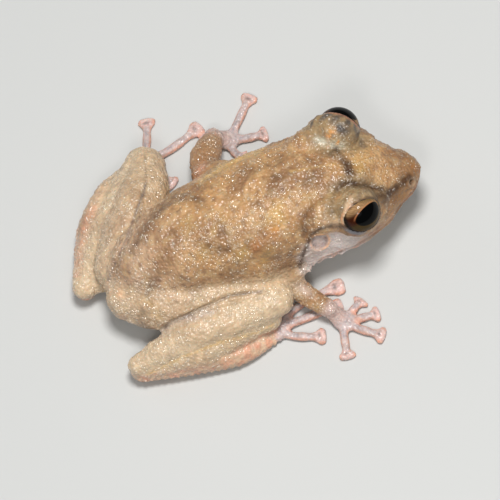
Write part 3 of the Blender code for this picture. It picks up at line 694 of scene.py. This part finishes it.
# soft ovals: place along x and across, half length, half width, angle in degrees, strength
LID_DARK = [(16.7, 8.6, 1, 0.8, 100, 0.75), (16.3, 9.9, 0.8, 0.9, 60, 0.5)]
LID_ORANGE = [(15.5, 8.7, 0.65, 0.42, 70, 1), (15.7, 7.3, 0.3, 0.2, 30, 0.8)]
LILAC = [(-6.6, -4.5, 2.4, 0.45, -5, 0.5), (-10.4, -4.6, 1.2, 0.7, 20, 0.35)]
DARK = [
    (14.6, 6.2, 0.8, 0.5, 80, 0.5), (15.7, 4.4, 1.1, 0.6, 95, 0.8), (18.5, -0.4, 1.4, 0.8, 15, 0.7),
    (7.2, 6, 1.4, 0.8, 50, 0.35), (-1.4, 1.6, 2.3, 0.8, 150, 0.5), (2.4, 0.2, 1.2, 0.8, 120, 0.5),
    (-9.6, 0.7, 1.6, 0.9, 60, 0.4), (-6, -0.6, 1.6, 0.8, 120, 0.35), (6.2, -2.2, 1.6, 0.9, 20, 0.35),
    (9.3, 1.4, 0.9, 1.1, 30, 0.3), (4.6, 4.4, 0.9, 0.6, 20, 0.35), (7, -3.4, 1.2, 0.7, 50, 0.5),
    (8.4, -0.4, 1, 0.5, 70, 0.45), (-0.5, -1.2, 2.6, 0.8, 10, 0.3), (11, 4.6, 1.6, 0.7, 20, 0.3),
    (-12, -2.6, 1.4, 0.6, 70, 0.4),
]
OCHRE = [
    (17, 4.2, 1.2, 1.1, 60, 0.9), (5.9, 2, 1.2, 0.9, 20, 0.9), (1.1, 0.1, 1.2, 0.9, 40, 0.8),
    (-2.8, 1.8, 1, 0.8, 30, 0.7), (6.6, 3.2, 1.2, 0.9, 50, 0.6), (0, 4, 1.2, 0.7, 30, 0.5),
    (-10.5, -1.8, 1.6, 0.8, 100, 0.4), (10.5, 3, 1.4, 1, 40, 0.4), (3.4, -1.2, 1.2, 0.7, 30, 0.6),
    (-3.5, 5.4, 1.2, 0.8, 30, 0.5), (6.8, -4.4, 1.2, 0.8, 0, 0.7),
]
RUST = [
    (5.3, 0.9, 0.9, 0.7, 60, 0.35), (2.9, 0.2, 0.9, 0.7, 20, 0.4), (14.9, 8.3, 0.5, 0.3, 60, 0.9),
    (14.6, 7.4, 0.4, 0.25, 30, 0.6), (22.8, 1.2, 0.8, 0.3, 120, 0.7), (-13.4, 1.1, 0.7, 0.5, 90, 0.3),
    (13.3, 1.6, 0.5, 0.35, 40, 0.5), (-14.2, -1.6, 0.7, 0.5, 90, 0.3), (17.5, -3.4, 1.6, 0.3, -12, 0.4),
]
print("ovals:", len(DARK + OCHRE + RUST))


# %% Marks on the plane
def streaks(points, rows):
    """Soft lines over the plane of the marks: strength times exp(-(distance/width)^2)."""
    ragged = 1 + 0.25 * waves(points, 1.1, 8)
    total = np.zeros(len(points))
    for line, width, strength in rows:
        away, where = to_line(flat(points), line)
        total = np.maximum(total, strength * ragged * bell(away, width))
    return np.clip(total, 0, 1)


def marks(points, rows):
    """Sum of soft ovals: strength times exp(-(along/length)^3 - (across/width)^2), kept under 1."""
    x, p = flat(points).T
    ragged = 1 + 0.35 * waves(points, 1.3, 7)
    total = np.zeros(len(points))
    for at, over, length, width, angle, strength in rows:
        c, s = cos(radians(angle)), sin(radians(angle))
        a, b = (x - at) * c + (p - over) * s, (p - over) * c - (x - at) * s
        total += strength * np.exp(-np.abs(a / length) ** 3 - (b / width) ** 2) * ragged
    return np.clip(total, 0, 1)


facing = ramp(normal @ LOOK, -0.25, 0.35)  # 1 on skin that faces the way the picture looks
print("skin that the marks reach:", round(100 * float((facing > 0).mean())), "%")


# %% Paint of the trunk and limbs
def limb_share(points, side, kind, grow=1.0):
    """Near 1 on one limb and 0 away from it."""
    rows = np.array(LIMBS[side][kind])
    away, _ = to_line(points, rows[:, :3])
    return 1 - ramp(away, 0.85 * rows[:, 3].max() * grow, 1.5 * rows[:, 3].max() * grow)


x, y, z = shape.T
rear = ramp(-x, 2.0, 12.0)
cloudy = np.clip(0.35 + 0.7 * waves(shape, 4.2, 4), 0, 1) * (1 - 0.4 * rear)
uneven = 1 + 0.07 * np.clip(waves(shape, 1.6, 21, 14), -1, 1)
legs, feet, arms = (np.zeros(len(shape)) for _ in range(3))  # near 1 on those limbs
for side in SIDES:
    shank, thigh = limb_share(shape, side, "shank"), limb_share(shape, side, "thigh", 0.9)
    legs = np.maximum(legs, np.maximum(shank, 0.78 * thigh))
    for rows in PRESSED[side]:
        away, _ = to_line(shape, np.array(rows)[:, :3])
        legs = np.maximum(legs, 1 - ramp(away, 1.4, 2.3))
    feet = np.maximum(feet, limb_share(shape, side, "foot"))
    upper, fore = limb_share(shape, side, "upper_arm"), limb_share(shape, side, "forearm")
    arms = np.maximum(arms, np.maximum(fore, 0.6 * upper))
flushed = np.clip(waves(shape, 1.3, 23, 14) + 0.4, 0, 1) * (1 - ramp(z, 2.2, 4.4))
# the dark pattern, with painted shade from three of the streaks
dark = np.maximum(np.clip(1.3 * marks(shape, DARK), 0, 1), streaks(shape, STREAKS))
# painted shade along the creases between thigh and shank
folds = [(line, 0.7 * width, 0.6) for line, width, depth in CREASES]
flank = (1 - ramp(z + 0.5 * waves(shape, 1.8, 73), 3.6, 6.6)) * (1 - legs) * (1 - feet)
under = ramp(-normal[:, 2], 0.1, 0.8) * (1 - 0.5 * feet) * (1 - ramp(z, 6.0, 8.0))
colour = coats(
    np.tile(srgb(190, 145, 96), (len(shape), 1)),
    ((202, 167, 136), rear),
    ((142, 102, 66), 0.85 * cloudy),
    ((214, 180, 132), 0.35 * np.clip(waves(shape, 1.4, 14, 14), 0, 1)),
    ((124, 88, 62), 0.5 * np.clip(waves(shape, 0.9, 15, 18) - 0.3, 0, 1)),
    ((216, 190, 156), 0.88 * legs, uneven),
    ((216, 182, 152), feet, uneven),
    ((228, 154, 122), 0.6 * feet * flushed),
    ((164, 122, 84), arms * np.where(y > 0, 0.8, 0.45)),
    ((206, 164, 96), 0.7 * marks(shape, OCHRE) * facing),
    ((218, 178, 112), streaks(shape, PALE_STREAKS) * facing),
    # dark pattern and painted shade
    ((84, 57, 38), 0.85 * dark * facing),
    ((222, 134, 60), 0.75 * marks(shape, RUST) * facing),
    ((182, 166, 162), marks(shape, LILAC) * facing),
    # painted shade in the leg creases
    ((112, 98, 92), streaks(shape, folds) * facing),
    ((228, 164, 134), streaks(shape, BLUSH) * facing),
    ((204, 178, 150), 0.6 * flank * (1 - arms) * ramp(x, -2.0, 2.0)),
    ((212, 196, 176), under),
)
print("mean colour with the limbs painted:", colour.mean(axis=0).round(3))

# %% Paint of the head
heading = np.array([cos(HEAD_TURN), -sin(HEAD_TURN), 0])
along = (shape - place(TURN_TO, 0, 0)) @ heading + TURN_TO
level = z - np.interp(along, (8.0, 12.0, 15.0, 20.0), (9.9, 10.6, 8.9, 7.6))
level += 0.25 * waves(shape, 1.4, 71, 14)
rear = along + 0.5 * waves(shape, 1.8, 72, 14) - 0.25 * (z - 8.0)
cheek = ramp(rear, 6.9, 9.6) * (1 - ramp(level, -0.6, 0.6)) * (1 - 0.85 * ramp(along, 13.6, 17.0))
muzzle = ramp(along, 17.5, 20.0) * (1 - ramp(z, 8.6, 10.0))
lip, _ = to_line(shape, mouth_line)
spotted = np.clip(0.5 + 0.9 * waves(shape, 1.2, 31), 0, 1)
colour = coats(
    colour,
    # the cheek's own pale lilac grey, painted paler than it is as painted light on this down-facing side
    ((228, 213, 207), cheek * 0.9 * ramp(z, 3.2, 4.8)),
    ((134, 90, 42), 0.65 * muzzle),
    ((212, 144, 100), 0.6 * spotted * bell(lip, 0.28, 0.4)),
    ((84, 58, 46), 0.9 * bell(lip, 0.13)),
)
for side in SIDES:
    drum, hole = drum_and_hole(shape, side)
    # the eardrum's own pinkish grey, painted paler than it is as painted light against the shade under the
    # fold above it, and paler still in the middle
    grey = srgb(194, 170, 162) * (1 + 0.2 * waves(shape, 0.9, 51))[:, None]
    grey = blend(grey, srgb(228, 208, 198), 0.6 * bell(drum, 0.42))
    colour = blend(colour, grey, 1 - ramp(drum, 0.8, 1.0))
    lit = 0.5 + 0.5 * ramp(x - on_body(*EARDRUM, side)[0], -0.6, 0.5)
    r, share, front, lift = around_eye(shape, side)
    lids = r < LIDS_REACH
    mottled = np.clip(0.6 + 0.6 * waves(shape, 1.0, 33), 0, 1) * (1.0 if side > 0 else 0.35)
    lower = ramp(-lift, 0.0, 1.0) * ramp(-front, 0.0, 1.2) * (1 - ramp(share, 1.15, 1.35))
    rim = lids * (1 - ramp(np.abs(share - 1.08), 0.03, 0.08))
    colour = coats(
        colour,
        ((128, 98, 88), 0.5 * bell(drum, 0.13, 0.88)),
        ((250, 190, 144), lit * bell(drum, 0.12, 1.13)),
        ((196, 168, 140), 0.6 * bell(hole, 0.16, 0.5)),
        # painted shade inside the nostril: a near-black disc
        ((40, 28, 22), np.exp(-((hole / 0.27) ** 4))),
        ((142, 130, 98), 0.5 * (1 - ramp(r, 3.2, 5.0)) * ramp(lift, -1.0, 0.5)),
        ((92, 80, 68), lids * (1 - ramp(share, 1.4, 1.9)) * mottled * ramp(lift, -0.3, 0.9)),
        ((112, 118, 128), 0.85 * lids * lower),
        ((190, 116, 84) if side > 0 else (112, 80, 52), 0.7 * rim * ramp(lift, -0.4, 0.8)),
        ((222, 156, 108), 0.9 * rim * ramp(-front, 0.4, 1.4) * ramp(lift, -0.9, 0.2)),
        # painted shade in the gap between lid and eyeball: near black on the skin inside the opening
        ((16, 10, 7), lids * (1 - ramp(share, 1.0, 1.05))),
    )
broken = np.clip(0.55 + 0.9 * waves(shape, 0.55, 61, 18), 0, 1)
colour = coats(
    colour,
    ((84, 74, 66), marks(shape, LID_DARK) * facing),
    ((222, 186, 150), streaks(shape, LID_STREAKS) * facing),
    ((214, 206, 182), streaks(shape, LID_SILVER) * facing),
    # dark stripes, and painted shadow and shade beside the fold over the eardrum and the right lid
    ((68, 40, 14), 0.88 * streaks(shape, HEAD_STRIPES_AND_PAINTED_SHADE) * facing),
    ((234, 162, 84), marks(shape, LID_ORANGE) * facing * broken),
)
print("mean colour with the head painted:", colour.mean(axis=0).round(3))


# %% Paint of the digits
def lay_paint(piece, tones):
    """Store a linear colour at every point of a piece, and shade it smooth."""
    rows = np.column_stack([tones, np.ones(len(tones))]).astype(np.float32)
    layer = piece.data.attributes.new("paint", "FLOAT_COLOR", "POINT")
    layer.data.foreach_set("color", rows.ravel())
    piece.data.shade_smooth()


grain = np.clip(0.6 + waves(shape, 1.5, 41), 0, 1)
for side in SIDES:
    colour = coats(colour, ((198, 170, 160), limb_share(shape, side, "hand")))
    for plan in digit_plans(side):
        curve = digit_curve(*plan, np.linspace(0, 1, 7)[:, None])
        away, where = to_line(shape * (1, 1, 0), np.column_stack([curve, np.zeros(7)]))
        on = (1 - ramp(away, 0.95, 1.3)) * (1 - ramp(z, 1.0, 1.5))
        disc = ramp(where, 0.8, 0.86)
        edge = ramp(away, 0.25, 0.45) * (1 - disc) + ramp(away, 0.6, 0.85) * disc
        middle = bell(away, 0.2) * (1 - ramp(where, 0.8, 0.88)) * grain
        colour = coats(
            colour,
            ((202, 182, 177), 0.95 * on),
            ((232, 192, 180), 0.7 * on * disc),
            ((234, 160, 122), 0.6 * on * edge * ramp(where, 0.1, 0.3)),
            ((140, 136, 142), 0.55 * on * middle),
            ((110, 104, 102), 0.75 * on * bell(where, 0.035, 0.9) * bell(away, 0.45)),
        )
lay_paint(skin, colour)
print("mean colour of the whole skin:", colour.mean(axis=0).round(3))

# %% [markdown]
# ## Damp skin
#
# The material takes its colour from the paint, speckles it with noise, raises small cells in it and adds a
# thin clear coat of water. Object coordinates drive the grain, so it stays put whatever looks at it.


# %% Materials
def set_inputs(node, values):
    """A constant on each named socket of a node."""
    for socket, value in values.items():
        node.inputs[socket].default_value = value


def material(name, settings, grain=0.0, speckle=0.0):
    """A Principled surface with the given settings. If they hold no colour, it is the paint times a noise
    from 1 - speckle to 1 + speckle, and small cells raise a bump of strength grain."""
    made = bpy.data.materials.new(name)
    made.use_nodes = True
    nodes = made.node_tree.nodes
    shader = nodes["Principled BSDF"]
    set_inputs(shader, settings)
    if "Base Color" in settings:
        return made

    def wire(source, out, node, into):
        made.node_tree.links.new(source.outputs[out], node.inputs[into])

    where, painted = nodes.new("ShaderNodeTexCoord"), nodes.new("ShaderNodeAttribute")
    painted.attribute_name = "paint"
    noise, cells = nodes.new("ShaderNodeTexNoise"), nodes.new("ShaderNodeTexVoronoi")
    set_inputs(noise, {"Scale": 1500, "Detail": 4})
    cells.feature = "SMOOTH_F1"
    set_inputs(cells, {"Scale": 2600, "Smoothness": 0.4})
    light, mix = nodes.new("ShaderNodeMapRange"), nodes.new("ShaderNodeMix")
    set_inputs(light, {"From Min": 0.3, "From Max": 0.7, "To Min": 1 - speckle, "To Max": 1 + speckle})
    mix.data_type, mix.blend_type = "RGBA", "MULTIPLY"
    mix.inputs["Factor"].default_value = 1
    bump = nodes.new("ShaderNodeBump")
    set_inputs(bump, {"Strength": grain, "Distance": 0.00014})
    bump.invert = True
    wire(where, "Object", noise, "Vector")
    wire(where, "Object", cells, "Vector")
    wire(noise, "Fac", light, "Value")
    wire(painted, "Color", mix, "A")
    wire(light, "Result", mix, "B")
    wire(mix, "Result", shader, "Base Color")
    wire(cells, "Distance", bump, "Height")
    wire(bump, "Normal", shader, "Normal")
    wire(bump, "Normal", shader, "Coat Normal")
    return made


damp_skin = material("damp_skin", {
    "Roughness": 0.5, "Coat Weight": 0.4, "Coat Roughness": 0.14, "Subsurface Weight": 0.25,
    "Subsurface Scale": 0.0006, "Subsurface Radius": (1.0, 0.45, 0.3)}, grain=0.9, speckle=0.14)
skin.data.materials.clear()
skin.data.materials.append(damp_skin)
print("materials:", [m.name for m in skin.data.materials])

# %% [markdown]
# ## Granules
#
# The back and legs are covered by thousands of low round granules, each with its own wet glint. A granule is
# a dome of two rings and a tip, set on a point of the skin and turned to its normal.


# %% Scatter the granules
PER_MM2 = 6.0  # granules to a square millimetre where they are thickest
wanted = ramp(normal[:, 2], -0.35, 0.3) * bumpy * (1 - lids_zone) * (drums[1] > 1.1) * (drums[-1] > 1.1)
wanted *= (mouth_away > 0.35) * (0.55 + 0.45 * np.clip(waves(shape, 3.0, 9), -1, 1))
chosen = np.flatnonzero(np.random.default_rng(5).random(len(shape)) < PER_MM2 * VOXEL**2 * wanted)
rng = np.random.default_rng(11)
sizes = rng.uniform(0.1, 0.19, len(chosen)) * (1 + 0.4 * rng.random(len(chosen)) ** 5)
sizes *= 1 - 0.2 * ramp(x[chosen], 11.0, 14.0)
# every granule is painted a little paler and about a fifth much paler: partly their own pale colour, partly
# painted glints
rises, pale_and_painted_glint = rng.uniform(0.2, 0.5, len(chosen)), rng.random(len(chosen)) ** 2 * 0.28
pale = 0.2 + 0.22 * ramp(-x[chosen], 2.0, 9.0)
pale_and_painted_glint = np.where(rng.random(len(chosen)) < 0.22, pale, pale_and_painted_glint)
print("granules:", len(chosen))

# %% Raise a dome at each place
CORNERS, PATCH = 6, 0.0015  # corners of a ring, and half width of a granule's patch on the map
centre, up = shape[chosen], normal[chosen]
across = np.cross(up, np.where(np.abs(up[:, :1]) < 0.8, [[1.0, 0, 0]], [[0, 1.0, 0]]))
across /= np.linalg.norm(across, axis=1)[:, None]
turn = np.linspace(0, 2 * pi, CORNERS, endpoint=False)
circle = np.stack([np.cos(turn), np.sin(turn)], axis=-1)
ring = circle[:, :1] * across[:, None] + circle[:, 1:] * np.cross(up, across)[:, None]
centre, up, size, rise = centre[:, None], up[:, None], sizes[:, None, None], rises[:, None, None]
low = centre + ring * size - up * 0.05
high = centre + ring * size * 0.66 + up * size * rise * 0.72
domes = np.concatenate([low, high, centre + up * size * rise], axis=1)
j = np.arange(CORNERS)
k = (j + 1) % CORNERS
lower = np.stack([j, k, CORNERS + k, CORNERS + j], axis=-1)
upper = np.stack([CORNERS + j, CORNERS + k, np.full(CORNERS, 2 * CORNERS)], axis=-1)
start = np.arange(domes[..., 0].size).reshape(domes.shape[:2])[:, :1, None]
faces = (lower + start).reshape(-1, 4).tolist() + (upper + start).reshape(-1, 3).tolist()
grains = mesh_object("granules", domes.reshape(-1, 3), faces)
# granules painted paler, partly their own colour and partly painted glints
tones = coats(colour[chosen], ((240, 226, 202), pale_and_painted_glint))
lay_paint(grains, np.repeat(tones, domes.shape[1], axis=0))
wet_granules = material("wet_granules", {
    "Roughness": 0.4, "Coat Weight": 1.0, "Coat Roughness": 0.05, "Coat IOR": 1.9}, speckle=0.1)
grains.data.materials.append(wet_granules)
print("faces of the granules:", len(faces))

# %% A map for the granules
# on OFBake each granule has a small patch, at its place on the skin rolled out along x
u = (np.arctan2(y[chosen], z[chosen] - 5.0) / (2 * pi) + 0.5) * 0.96 + 0.02
v = (x[chosen] - x.min()) / np.ptp(x) * 0.96 + 0.02
root = np.stack([u, v], axis=-1)[:, None]
patch = np.concatenate([root + PATCH * circle, root + 0.6 * PATCH * circle, root], axis=1).reshape(-1, 2)
corners = array_of(grains.data.loops, "vertex_index", np.int32, 1).ravel()
uv = grains.data.uv_layers.new(name="OFBake")
uv.data.foreach_set("uv", patch[corners].astype(np.float32).ravel())
print("corners on the map:", len(corners))

# %% [markdown]
# ## Eyes
#
# An eye is a ball with a fine grid of points. How far a point lies along and across the slit gives its
# paint: the black oval pupil with a thin orange edge, the golden iris or the dark rim. A wet coat covers it.


# %% Eyes
def eyeball(side):
    """A ball of latitude and longitude about the pupil's axis, with the iris painted on its points."""
    centre, axis, slit, across = eye_frame(side, PUPIL_LOOKS)
    unit = ball(120, 160, 0.02) @ np.array([slit, across, axis])
    points, faces = joined([ringed(centre + unit * EYE_RADIUS)])
    piece = mesh_object(f"eyeball_{SIDES[side]}", points, faces)
    lay_paint(piece, iris((points - centre) @ slit, (points - centre) @ across, side))
    return piece


def iris(u, v, side):
    """Colour at places along (u) and above (v) the slit, in millimetres from the middle of the pupil."""
    around = np.arctan2(v, u)
    pupil = np.sqrt(((u - 0.12) / 1.68) ** 2 + (v / np.where(v < 0, 1.2, 0.92)) ** 2)
    rim = np.sqrt(u**2 + v**2) / 2.35
    bent = around * 46 + 3 * np.sin(around * 7 + rim * 9)
    rays = 0.5 + 0.5 * np.sin(bent) * np.sin(around * 17 + rim * 14)
    edge = (1 - ramp(np.abs(pupil - 1.05), 0.02, 0.09)) * ramp(v - 0.1 * u, 0.25, 0.8)
    return coats(
        np.tile(srgb(178, 140, 100), (len(u), 1)),
        ((112, 80, 48), 0.8 * rays),
        ((50, 12, 1), 0.97 * ramp(-u, -0.1, 0.8) * ramp(-v, -1.3, -0.6)),
        ((70, 54, 20), 0.9 * ramp(-v, 0.0, 0.6)),
        ((98, 80, 46), 0.75 * ramp(v + 0.6 * u, 1.2, 2.0)),
        ((206, 132, 84), 0.55 * edge),
        ((12, 9, 6), ramp(rim, 0.86, 0.97)),
        # painted shade over the upper half of the left eye
        ((9, 7, 5), (side > 0) * ramp(v, 0.2, 0.7)),
        ((2, 2, 2), 1 - ramp(pupil, 0.98, 1.03)),
    )


eyes = [eyeball(side) for side in SIDES]
wet_eye = material("wet_eye", {
    "Roughness": 0.25, "Specular IOR Level": 0.0, "Coat Weight": 0.6, "Coat Roughness": 0.02,
    "Coat IOR": 1.3}, speckle=0.05)
for eye in eyes:
    eye.data.materials.append(wet_eye)
print("eyes:", [eye.name for eye in eyes])

# %% [markdown]
# ## Joining the looks to the frame
#
# The skin stands for every solid of flesh and each eyeball for its solid, so none of the solids shows. The
# pieces ride on the root body, as a still animal has only one.

# %% Tie to the frame
flesh_names = [name for name in sorted(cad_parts) if not name.startswith("eye_")]
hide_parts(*flesh_names)
for side, eye in zip(SIDES, eyes):
    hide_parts(f"eye_{SIDES[side]}")
for piece in (skin, grains, *eyes):
    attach(piece, "root")
print("solids replaced:", len(flesh_names) + 2)

# %% [markdown]
# ## Floor, light and camera
#
# A pale floor, a broad soft light overhead, a fill and a small bright key near the camera for the glints.
# The camera looks down on the frog's right side through a very long lens, as the picture does.

# %% Floor
corners = np.array([(-900, -900, 0), (900, -900, 0), (900, 900, 0), (-900, 900, 0)], float)
floor = mesh_object("floor", corners, [(0, 1, 2, 3)])
pale_floor = material("pale_floor", {"Roughness": 0.7, "Base Color": (0.60, 0.60, 0.58, 1)})
floor.data.materials.append(pale_floor)
print("floor:", round(np.ptp(corners[:, 0]) * MM, 1), "m square")


# %% Lights
def area(name, place_mm, aim_mm, size_mm, watts):
    """A round lamp at a place, turned towards another."""
    data = bpy.data.lights.new(name, "AREA")
    data.shape, data.energy, data.size = "DISK", watts, size_mm * MM
    lamp = linked(name, data)
    lamp.location = Vector(place_mm) * MM
    lamp.rotation_euler = (Vector(aim_mm) - Vector(place_mm)).to_track_quat("-Z", "Y").to_euler()


TARGET = np.array([2.0, -3.27, 7.0])
area("broad", (-40, -230, 380), TARGET, 300, 0.15)
area("spark", (-50, -220, 340), TARGET, 80, 0.24)
area("fill", (-260, 300, 240), TARGET, 260, 0.12)
area("key", (49, -31, 400), TARGET, 105, 1.34)
world = bpy.data.worlds.new("studio")
bpy.context.scene.world = world
world.use_nodes = True
set_inputs(world.node_tree.nodes["Background"], {"Color": (0.9, 0.95, 1.0, 1), "Strength": 0.2})

# %% Camera
ROLL, DISTANCE, PX_PER_MM, PICTURE_PX, SENSOR = radians(22.6), 1200.0, 8.9, 500, 36
ahead = np.array([1.0, 0, 0])
right = cos(ROLL) * ahead - sin(ROLL) * OVER
up = sin(ROLL) * ahead + cos(ROLL) * OVER
lens = bpy.data.cameras.new("camera")
lens.sensor_width, lens.clip_start, lens.clip_end = SENSOR, 0.1, 10
lens.lens = SENSOR * DISTANCE * PX_PER_MM / PICTURE_PX
camera = linked("camera", lens)
turned = Matrix([list(right), list(up), list(LOOK)]).transposed().to_4x4()
turned.translation = Vector(TARGET + LOOK * DISTANCE) * MM
camera.matrix_world = turned
bpy.context.scene.camera = camera
bpy.context.scene.view_settings.view_transform = "Standard"
print("camera", DISTANCE, "mm away, lens", round(lens.lens), "mm")
